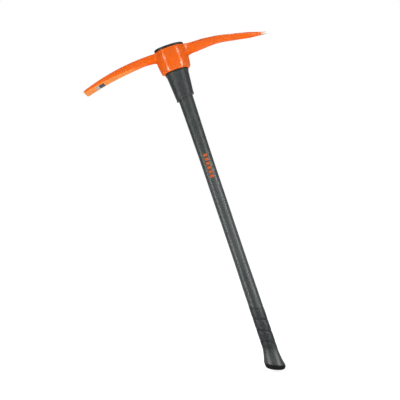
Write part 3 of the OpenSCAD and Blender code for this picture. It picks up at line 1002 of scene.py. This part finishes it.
def head_mesh(bm, hub, chisel, point):
    """The hub with its eye, and both arms grown out of its sides."""
    noise.seed_set(FORGED_SEED)
    rings, first = hub_rings(hub)
    high_row = first + BARREL_ROWS
    rims = {
        -1: root_rim(CHISEL_ROOT[0], first + CHISEL_ROOT[1], high_row),
        1: root_rim(POINT_ROOT[0], first + POINT_ROOT[1], high_row),
    }
    rows = []
    for r, ring in enumerate(rings):
        barrel = first <= r <= high_row
        rows.append([bm.verts.new(dented(place) if barrel else place) for place in ring])
    roots = ((0, POINT_ROOT), (COLUMNS // 2, CHISEL_ROOT))
    for r, low in enumerate(rows):
        high = rows[(r + 1) % len(rows)]
        for c in range(COLUMNS):
            k = (c + 1) % COLUMNS
            taken = any(
                first + low_row <= r < high_row and (c - turn + half_columns) % COLUMNS < 2 * half_columns
                for turn, (half_columns, low_row) in roots
            )
            if not taken:
                bm.faces.new((low[c], low[k], high[k], high[c]))
    bevel_from = chisel.reach - chisel.bevel
    reaches = steps(CHISEL_FROM, bevel_from, round((bevel_from - CHISEL_FROM) / ARM_STEP))[1:]
    reaches += [chisel.reach - chisel.bevel / 2, chisel.reach - CHISEL_LAST, chisel.reach]
    add_arm(
        bm, rows, rims[-1], -1, CHISEL_FROM, reaches,
        lambda reach: chisel_section(chisel, reach), CHISEL_FILLET,
    )
    count = round((point.reach - POINT_FROM) / ARM_STEP)
    reaches = steps(POINT_FROM, point.reach - POINT_LAST, count)[1:] + [point.reach]
    add_arm(
        bm, rows, rims[1], 1, POINT_FROM, reaches,
        lambda reach: point_section(point, reach), POINT_FILLET,
    )
    loose = [v for v in bm.verts if not v.link_faces]
    bmesh.ops.delete(bm, geom=loose, context="VERTS")


# The handle

# Rows of the jacket under the grip, over the swell above it, on the plain shaft, at the neck and in the tang
UNDER_ROWS, SEAT_ROWS, SHAFT_ROWS, NECK_ROWS, TANG_ROWS = 8, 18, 14, 16, 6
# Rows of the jacket's bore and of the grip's
BORE_ROWS = 6
# Rows of the collar's bead, its side, its lip and its bore
BEAD_ROWS, SIDE_ROWS, LIP_ROWS, COLLAR_BORE_ROWS = 7, 12, 7, 8
# Rows of the flare, of a swell of the grip, of a groove and of the butt's rounded edge
FLARE_ROWS, SWELL_ROWS, GROOVE_ROWS, BUTT_ROWS = 18, 12, 10, 10
# How the shaft swells to the neck and the knob flares, and how a swell and a groove of the grip are curved
NECK_CURVE, FLARE_CURVE = 1.5, 1.7
SWELL_CURVE, GROOVE_CURVE = 4, 1.5
# Rounding of the grip's and the butt's small edges, and of the jacket's lip above the grip
SMALL_ROUND = 0.0008
LIP_ROUND = 0.0007


def jacket_half(handle, grip, height):
    """Half width of the shaft's jacket at a height on the axis, above the grip."""
    collar_low = COLLAR_HIGH.z - handle.collar_length
    if height > collar_low:
        return between(handle.neck_width, handle.tang_width, span(height, collar_low, JACKET_HIGH.z)) / 2
    neck = span(height, collar_low - handle.neck_swell, collar_low) ** NECK_CURVE
    seat = ease(1 - span(height, grip.grip_length, grip.grip_length + grip.seat_swell))
    to_neck = (handle.neck_width - handle.shaft_width) * neck
    to_seat = (grip.seat_width - handle.shaft_width) * seat
    return (handle.shaft_width + to_neck + to_seat) / 2


def jacket_mesh(bm, handle, grip):
    """The oval jacket, set back under the grip, with its bore and the mould's parting line."""
    def ring(half, height, lean=0.0):
        return oval_ring(half, half - handle.shaft_flat / 2, height, HANDLE_FULLNESS, lean)

    seam = grip.grip_length + BOND_GAP
    slant = tan(grip.slant)
    seat = grip.seat_width / 2 - grip.recess
    rings = []
    for height in steps(JACKET_LOW.z, seam, UNDER_ROWS):
        rings.append(ring(seat, height, slant * ease(span(height, JACKET_LOW.z, seam / 2))))
    for half, _, height in edge_round(grip.seat_width / 2, 0.0, seam + LIP_ROUND, LIP_ROUND, -90, 0):
        rings.append(ring(half, height, slant))
    collar_low = COLLAR_HIGH.z - handle.collar_length
    heights = steps(seam + 2 * LIP_ROUND, seam + grip.seat_swell, SEAT_ROWS)
    heights += steps(seam + grip.seat_swell, collar_low - handle.neck_swell, SHAFT_ROWS)[1:]
    heights += steps(collar_low - handle.neck_swell, collar_low, NECK_ROWS)[1:]
    heights += steps(collar_low, JACKET_HIGH.z, TANG_ROWS)[1:]
    for height in heights:
        lean = slant * (1 - ease(span(height, seam, seam + grip.seat_swell)))
        points = ring(jacket_half(handle, grip, height), height, lean)
        for side in (0, COLUMNS // 2):
            points[side].x += copysign(handle.parting_ridge, points[side].x)
        rings.append(points)
    bore = CORE_HIGH.x + BOND_GAP
    rings += [oval_ring(bore, bore, height) for height in steps(JACKET_HIGH.z, JACKET_LOW.z, BORE_ROWS)]
    skin(bm, rings, closed=True)


def collar_mesh(bm, handle, grip):
    """The tapered collar, with a slanted bead below and a rounded lip under the hub."""
    flat = (COLLAR_HIGH.x - COLLAR_LOW.x) / 2 - (COLLAR_HIGH.y - COLLAR_LOW.y) / 2
    top = COLLAR_HIGH.z
    low = top - handle.collar_length
    lip_from = top - handle.lip_height
    slant = -tan(handle.collar_slant)
    edge, lip_edge, level_share = 0.0012, 0.0014, 0.7
    level_from = low + handle.collar_length * level_share

    def taper(height):
        half = between(handle.collar_low_width, handle.collar_top_width, span(height, low, lip_from)) / 2
        flare = ease(span(height, lip_from, top - lip_edge)) * (COLLAR_HIGH.x - handle.collar_top_width / 2)
        bead = ease(1 - span(height, low + handle.bead_height / 2, low + handle.bead_height))
        return half + flare + handle.bead_depth * bead

    def ring(half, half_depth, height):
        """A ring that leans with the lower edge, and lies level near the hub."""
        lean = slant * (1 - ease(span(height, low + handle.bead_height, level_from)))
        return oval_ring(half, half_depth, height, HANDLE_FULLNESS, lean)

    outside = [(h, z) for h, _, z in edge_round(taper(low), 0.0, low + edge, edge, -90, 0)]
    outside += [(taper(z), z) for z in steps(low + edge, low + handle.bead_height, BEAD_ROWS)[1:]]
    outside += [(taper(z), z) for z in steps(low + handle.bead_height, lip_from, SIDE_ROWS)[1:]]
    outside += [(taper(z), z) for z in steps(lip_from, top - lip_edge, LIP_ROWS)[1:]]
    outside += [(h, z) for h, _, z in edge_round(COLLAR_HIGH.x, 0.0, top - lip_edge, lip_edge, 0, 90)[1:]]
    rings = [ring(half, half - flat, height) for half, height in outside]
    for height in steps(top, low, COLLAR_BORE_ROWS):
        half = jacket_half(handle, grip, height) + BOND_GAP
        rings.append(ring(half, half - handle.shaft_flat / 2, height))
    skin(bm, rings, closed=True)


def seal_mesh(bm, handle, grip):
    """The seal ring, with a half-round outer edge."""
    bulge = (SEAL_HIGH.z - SEAL_LOW.z) / 2
    middle = (SEAL_HIGH.z + SEAL_LOW.z) / 2
    rings = [
        oval_ring(w, d, z, HANDLE_FULLNESS)
        for w, d, z in edge_round(SEAL_HIGH.x, SEAL_HIGH.y, middle, bulge, -90, 90, 8)
    ]
    for height in (SEAL_HIGH.z, SEAL_LOW.z):
        half = jacket_half(handle, grip, height) + BOND_GAP
        rings.append(oval_ring(half, half - handle.shaft_flat / 2, height, HANDLE_FULLNESS))
    skin(bm, rings, closed=True)


def cap_mesh(bm, cap):
    """The domed cap, with a plug in the eye and a level land inside its rim."""
    seat = HEAD_HIGH.z + BOND_GAP
    width, depth = CAP_HIGH.x, CAP_HIGH.y
    plug_width, plug_depth = RESIN_HIGH.x - BOND_GAP, RESIN_HIGH.y - BOND_GAP
    under, chamfer = 0.0006, 0.001
    dome_rows, dome_least = 14, 0.04
    plug = [
        (plug_width - chamfer, plug_depth - chamfer, CAP_LOW.z),
        (plug_width, plug_depth, CAP_LOW.z + chamfer),
        (plug_width, plug_depth, seat),
    ]
    profile = edge_round(width, depth, seat + under, under, -90, 0, 3)
    shoulder = seat + cap.rim_height - cap.edge_round
    profile += [(width, depth, z) for z in steps(seat + under, shoulder, 3)[1:]]
    profile += edge_round(width, depth, shoulder, cap.edge_round, 0, 90, 5)[1:]
    inner = cap.edge_round + cap.land
    top = seat + cap.rim_height
    line = cap.moat * 2
    profile.append((width - inner, depth - inner, top))
    profile.append((width - inner - line / 2, depth - inner - line / 2, top - cap.moat))
    dome_width, dome_depth = width - inner - line, depth - inner - line
    for t in steps(1, dome_least, dome_rows):
        profile.append((dome_width * t, dome_depth * t, between(top, CAP_HIGH.z, 1 - t * t)))
    rings = [oval_ring(w, d, z, HUB_FULLNESS) for w, d, z in plug]
    rings += [oval_ring(w, d, z, CAP_FULLNESS) for w, d, z in profile]
    for point in (point for ring in rings for point in ring):
        share = point.x / width
        point.z -= cap.lean * share * abs(share) * span(point.z, seat, top)
    skin(bm, rings, closed=False)


def flare_half(grip, height):
    """Half width of the grip or the knob at a height above the butt face."""
    flare = 1 - span(height, grip.butt_thickness, grip.butt_thickness + grip.flare_length)
    return between(grip.grip_width, grip.knob_width, flare ** FLARE_CURVE) / 2


def knob_shift(grip, height):
    """Sideways place of the knob's middle at a height above the butt face."""
    flare = 1 - span(height, grip.butt_thickness, grip.butt_thickness + grip.flare_length)
    return -grip.knob_shift * ease(flare)


def grip_mesh(bm, handle, grip):
    """The rubber sleeve: grooves and soft swells above a flared knob, with a bore and a seat for the plug."""
    slant = tan(grip.slant)

    def ring(half, height):
        return oval_ring(
            half, half - handle.shaft_flat / 2, height, HANDLE_FULLNESS, slant, knob_shift(grip, height)
        )

    low = grip.butt_thickness + BOND_GAP
    flare_top = grip.butt_thickness + grip.flare_length
    plug = grip.plug_width / 2 + BOND_GAP
    plug_top = grip.butt_thickness + grip.plug_length + BOND_GAP
    rings = [oval_ring(plug, plug, plug_top), oval_ring(plug, plug, low)]
    edge = SMALL_ROUND
    rings += [ring(h, z) for h, _, z in edge_round(flare_half(grip, low), 0.0, low + edge, edge, -90, 0)]
    rings += [ring(flare_half(grip, z), z) for z in steps(low + edge, flare_top, FLARE_ROWS)[1:]]
    count = int((grip.grip_length - flare_top - grip.groove_width) / grip.groove_pitch)
    stops = [grip.grip_length - i * grip.groove_pitch for i in range(count, 0, -1)]
    start = flare_top
    for stop in stops + [grip.grip_length]:
        last = stop == grip.grip_length
        end = stop - (edge if last else grip.groove_width / 2)
        for z in steps(start, end, SWELL_ROWS)[1:]:
            swell = grip.crown * (1 - (2 * span(z, start, end) - 1) ** SWELL_CURVE)
            rings.append(ring(grip.grip_width / 2 + swell, z))
        if last:
            rings += [ring(h, z) for h, _, z in edge_round(grip.grip_width / 2, 0.0, end, edge, 0, 90)[1:]]
            continue
        for z in steps(end, end + grip.groove_width, GROOVE_ROWS)[1:]:
            cut = grip.groove_depth * sin(pi * span(z, end, end + grip.groove_width)) ** GROOVE_CURVE
            rings.append(ring(grip.grip_width / 2 - cut, z))
        start = end + grip.groove_width
    seat = grip.seat_width / 2 - grip.recess + BOND_GAP
    for z in steps(grip.grip_length, JACKET_LOW.z - BOND_GAP, BORE_ROWS):
        lean = slant * ease(span(z, JACKET_LOW.z, grip.grip_length / 2))
        rings.append(oval_ring(seat, seat - handle.shaft_flat / 2, z, HANDLE_FULLNESS, lean))
    skin(bm, rings, closed=False)


def butt_mesh(bm, handle, grip):
    """The black butt cap, with a rounded edge under the knob and a plug that holds it."""
    slant = tan(grip.slant)
    half = flare_half(grip, grip.butt_thickness)
    side = -grip.knob_shift

    def ring(width, height):
        return oval_ring(width, width - handle.shaft_flat / 2, height, HANDLE_FULLNESS, slant, side)

    def round_ring(a):
        """A ring of the lower edge at an angle of its rounding, which grows towards the knob's low side."""
        points = ring(half, 0.0)
        for point in points:
            radius = grip.butt_round * (1 + grip.butt_lean * (point.x - side) / half)
            outer = Vector((point.x - side, point.y, 0))
            inset = outer.normalized() * radius * (1 - cos(a))
            point.x -= inset.x
            point.y -= inset.y
            point.z = radius * (1 + sin(a)) - point.x * slant
        return points

    inner_shares = (0.15, 0.3, 0.42)
    rings = [ring(half * share, 0.0) for share in inner_shares]
    rings += [round_ring(a) for a in steps(-pi / 2, 0, BUTT_ROWS)]
    edge = SMALL_ROUND
    top = grip.butt_thickness
    rings += [ring(h, z) for h, _, z in edge_round(half, 0.0, top - edge, edge, 0, 90)]
    plug = grip.plug_width / 2
    rings += [oval_ring(plug, plug, z) for z in (top, top + grip.plug_length - edge)]
    rings.append(oval_ring(plug - edge, plug - edge, top + grip.plug_length))
    skin(bm, rings, closed=False)


# Operators

class PICKAXE_OT_head(bpy.types.Operator):
    """Model the forged head: the hub with its eye, the chisel arm and the point arm"""

    bl_idname = "pick_axe.head"
    bl_label = "Forged head"

    def execute(self, context):
        settings = context.scene.pick_axe
        piece = new_piece(
            "forged_head",
            lambda bm: head_mesh(bm, settings.hub, settings.chisel, settings.point),
            sharp_angle=60,
        )
        smooth = piece.modifiers.new("smooth", "SUBSURF")
        smooth.levels = smooth.render_levels = 1
        finish = enamel_finish(settings.colours, settings.point, settings.chisel)
        dress(piece, "pick_head", finish)
        return {"FINISHED"}


class PICKAXE_OT_cap(bpy.types.Operator):
    """Model the black domed cap on the eye"""

    bl_idname = "pick_axe.cap"
    bl_label = "Eye cap"

    def execute(self, context):
        settings = context.scene.pick_axe
        colours = settings.colours
        piece = new_piece("eye_cap", lambda bm: cap_mesh(bm, settings.cap))
        finish = moulded_finish(
            "Black plastic", colours.black, colours.black_pale,
            scale=900.0, roughness=0.45, depth=0.00003, specular=0.25,
        )
        dress(piece, "top_cap", finish)
        return {"FINISHED"}


class PICKAXE_OT_collar(bpy.types.Operator):
    """Model the grey collar under the hub and the seal ring between them"""

    bl_idname = "pick_axe.collar"
    bl_label = "Collar and seal"

    def execute(self, context):
        settings = context.scene.pick_axe
        colours = settings.colours
        collar = new_piece("neck_sleeve", lambda bm: collar_mesh(bm, settings.handle, settings.grip))
        finish = moulded_finish(
            "Grey collar", colours.collar, colours.collar_pale,
            scale=1000.0, roughness=0.42, depth=0.00003, patches=90.0, wrinkle=0.0002,
        )
        dress(collar, "neck_collar", finish)
        seal = new_piece("seal_band", lambda bm: seal_mesh(bm, settings.handle, settings.grip))
        finish = moulded_finish(
            "Black seal", colours.black, colours.black_pale,
            scale=1400.0, roughness=0.6, depth=0.00002, specular=0.3,
        )
        dress(seal, "seal_ring", finish)
        return {"FINISHED"}


class PICKAXE_OT_shaft(bpy.types.Operator):
    """Model the shaft's oval jacket, and finish the rod and the resin inside"""

    bl_idname = "pick_axe.shaft"
    bl_label = "Shaft"

    def execute(self, context):
        settings = context.scene.pick_axe
        colours = settings.colours
        piece = new_piece("oval_shaft", lambda bm: jacket_mesh(bm, settings.handle, settings.grip))
        dress(piece, "handle_jacket", jacket_finish(colours))
        hidden = (
            ("fibreglass_core", "Glass fibre rod", colours.glass_fibre, (900.0, 900.0, 12.0)),
            ("eye_resin", "Cast resin", colours.resin, (120.0, 120.0, 120.0)),
        )
        for node, name, rgb, stretch in hidden:
            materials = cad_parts[node].data.materials
            materials.clear()
            materials.append(hidden_finish(name, rgb, stretch))
        return {"FINISHED"}


class PICKAXE_OT_grip(bpy.types.Operator):
    """Model the rubber grip with its grooves and knob, and the black butt cap"""

    bl_idname = "pick_axe.grip"
    bl_label = "Grip and butt"

    def execute(self, context):
        settings = context.scene.pick_axe
        colours = settings.colours
        sleeve = new_piece("hand_grip", lambda bm: grip_mesh(bm, settings.handle, settings.grip))
        dress(sleeve, "grip_sleeve", grip_finish(colours))
        butt = new_piece("butt_end", lambda bm: butt_mesh(bm, settings.handle, settings.grip))
        finish = moulded_finish(
            "Black butt", colours.black, colours.black_pale, scale=1200.0, roughness=0.5, depth=0.00004
        )
        dress(butt, "butt_cap", finish)
        return {"FINISHED"}


class PICKAXE_OT_stage(bpy.types.Operator):
    """Set up the floor under the finished pieces, the lamps, the white room and the camera"""

    bl_idname = "pick_axe.stage"
    bl_label = "Stage"

    def execute(self, context):
        stage = context.scene.pick_axe.stage
        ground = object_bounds()[0].z
        top = ground + stage.lamp_top
        context.scene.view_settings.view_transform = "Standard"
        self.add_floor(context, stage, ground)
        for side in (-1, 1):
            strip = (stage.lamp_width, stage.lamp_height, stage.lamp_power)
            self.add_strip(context, stage, "strip_lamp", side, top, *strip)
            strip = (stage.glint_width, stage.glint_height, stage.glint_power)
            glint = self.add_strip(context, stage, "glint_lamp", side, top, *strip)
            glint.visible_diffuse = False
            glint.data.color = stage.glint_colour
            self.add_card(context, stage, side, ground)
        self.light_room(context, stage)
        self.add_camera(context, stage)
        return {"FINISHED"}

    def seen_directly(self, tree, share):
        """1 for what the camera sees straight, and a share of it in a shiny or clear surface."""
        path = tree.nodes.new("ShaderNodeLightPath").outputs
        shiny = add_math(tree, "MAXIMUM", path["Is Glossy Ray"], path["Is Transmission Ray"])
        return add_math(tree, "MAXIMUM", path["Is Camera Ray"], add_math(tree, "MULTIPLY", shiny, share))

    def add_floor(self, context, stage, ground):
        """A wide white floor, which glows less in reflections on the camera's side."""
        reach, grey, white = 9.0, (0.8, 0.8, 0.8, 1.0), (1.0, 1.0, 1.0, 1.0)
        near, far, near_share = -0.2, 0.8, 0.15
        material, tree, surface = new_material("Pale floor")
        surface["Base Color"].default_value = grey
        surface["Roughness"].default_value = 0.9
        surface["Specular IOR Level"].default_value = 0.0
        surface["Emission Color"].default_value = white
        behind = add_ramp(tree, place_axes(tree, object_place(tree))["Y"], near, far, near_share, 1.0)
        glow = add_math(tree, "MULTIPLY", self.seen_directly(tree, behind), stage.floor_glow)
        feed(tree, surface["Emission Strength"], glow)
        corners = [(x * reach, y * reach, ground) for x, y in ((-1, -1), (1, -1), (1, 1), (-1, 1))]
        mesh = bpy.data.meshes.new("floor")
        mesh.from_pydata(corners, [], [(0, 1, 2, 3)])
        mesh.materials.append(material)
        floor = bpy.data.objects.new("floor", mesh)
        context.scene.collection.objects.link(floor)
        floor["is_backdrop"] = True

    def add_lamp(self, context, name, width, height, power, place, towards):
        """An area lamp that the camera doesn't see."""
        lamp = bpy.data.lights.new(name, "AREA")
        lamp.shape = "RECTANGLE"
        lamp.size = width
        lamp.size_y = height
        lamp.energy = power
        fixture = bpy.data.objects.new(name, lamp)
        fixture.location = place
        fixture.rotation_euler = towards.to_track_quat("-Z", "Y").to_euler()
        fixture.visible_camera = False
        context.scene.collection.objects.link(fixture)
        return fixture

    def add_strip(self, context, stage, name, side, top, width, height, power):
        """A tall strip lamp before the tool, to the left or the right."""
        place = Vector((
            side * stage.lamp_distance * sin(stage.lamp_side),
            -stage.lamp_distance * cos(stage.lamp_side),
            top - height / 2,
        ))
        towards = Vector((-place.x, -place.y, 0))
        return self.add_lamp(context, name, width, height, power, place, towards)

    def add_card(self, context, stage, side, ground):
        """A card close to the floor that throws light up, before the tool or behind it."""
        clearance = 0.03
        place = Vector((0, side * stage.card_distance, ground + clearance))
        size = (stage.card_width, stage.card_depth)
        self.add_lamp(context, "low_card", *size, stage.card_power, place, Vector((0, 0, 1)))

    def light_room(self, context, stage):
        """A white room, which is brighter on the far side."""
        front, back, back_share = -0.6, 0.8, 0.5
        world = context.scene.world or bpy.data.worlds.new("room")
        context.scene.world = world
        world.use_nodes = True
        tree = world.node_tree
        sky = tree.nodes["Background"].inputs
        towards = place_axes(tree, tree.nodes.new("ShaderNodeTexCoord").outputs["Generated"])["Y"]
        room = add_ramp(tree, towards, front, back, stage.front_light, stage.back_light)
        behind = add_ramp(tree, towards, 0.0, 1.0, 0.0, back_share)
        feed(tree, sky["Strength"], add_blend(tree, self.seen_directly(tree, behind), room, 1.0))
        sky["Color"].default_value = (1.0, 1.0, 1.0, 1.0)

    def add_camera(self, context, stage):
        """The camera that frames the tool, rolled so that the handle leans."""
        camera = bpy.data.cameras.new("camera")
        camera.sensor_width = 36.0
        camera.lens = stage.lens
        holder = bpy.data.objects.new("camera", camera)
        c, s = cos(stage.camera_roll), sin(stage.camera_roll)
        turn = Matrix(((c, s, 0), (0, 0, -1), (-s, c, 0)))
        place = Vector((stage.camera_x, -stage.camera_distance, stage.camera_height))
        holder.matrix_world = Matrix.Translation(place) @ turn.to_4x4()
        context.scene.collection.objects.link(holder)
        context.scene.camera = holder


class PICKAXE_PT_panel(bpy.types.Panel):
    """Lists the pick axe's pieces and their settings"""

    bl_idname = "PICKAXE_PT_panel"
    bl_label = "Pick Axe"
    bl_space_type = "VIEW_3D"
    bl_region_type = "UI"
    bl_category = "Pick Axe"

    def draw(self, context):
        settings = context.scene.pick_axe
        for operator in OPERATORS:
            self.layout.operator(operator.bl_idname)
        for name in PICKAXE_PG_settings.__annotations__:
            group = getattr(settings, name)
            box = self.layout.box()
            box.label(text=name.capitalize())
            for setting in group.__annotations__:
                box.prop(group, setting)


GROUPS = (
    PICKAXE_PG_hub, PICKAXE_PG_chisel, PICKAXE_PG_point, PICKAXE_PG_handle, PICKAXE_PG_grip,
    PICKAXE_PG_cap, PICKAXE_PG_colours, PICKAXE_PG_stage, PICKAXE_PG_settings,
)
OPERATORS = (
    PICKAXE_OT_head, PICKAXE_OT_cap, PICKAXE_OT_collar, PICKAXE_OT_shaft, PICKAXE_OT_grip, PICKAXE_OT_stage,
)


def register():
    for item in (*GROUPS, *OPERATORS, PICKAXE_PT_panel):
        bpy.utils.register_class(item)
    bpy.types.Scene.pick_axe = PointerProperty(type=PICKAXE_PG_settings)


def unregister():
    del bpy.types.Scene.pick_axe
    for item in reversed((*GROUPS, *OPERATORS, PICKAXE_PT_panel)):
        bpy.utils.unregister_class(item)


def main():
    register()
    bpy.ops.pick_axe.head()
    bpy.ops.pick_axe.cap()
    bpy.ops.pick_axe.collar()
    bpy.ops.pick_axe.shaft()
    bpy.ops.pick_axe.grip()
    bpy.ops.pick_axe.stage()
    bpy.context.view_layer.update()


if __name__ == "__main__":
    main()
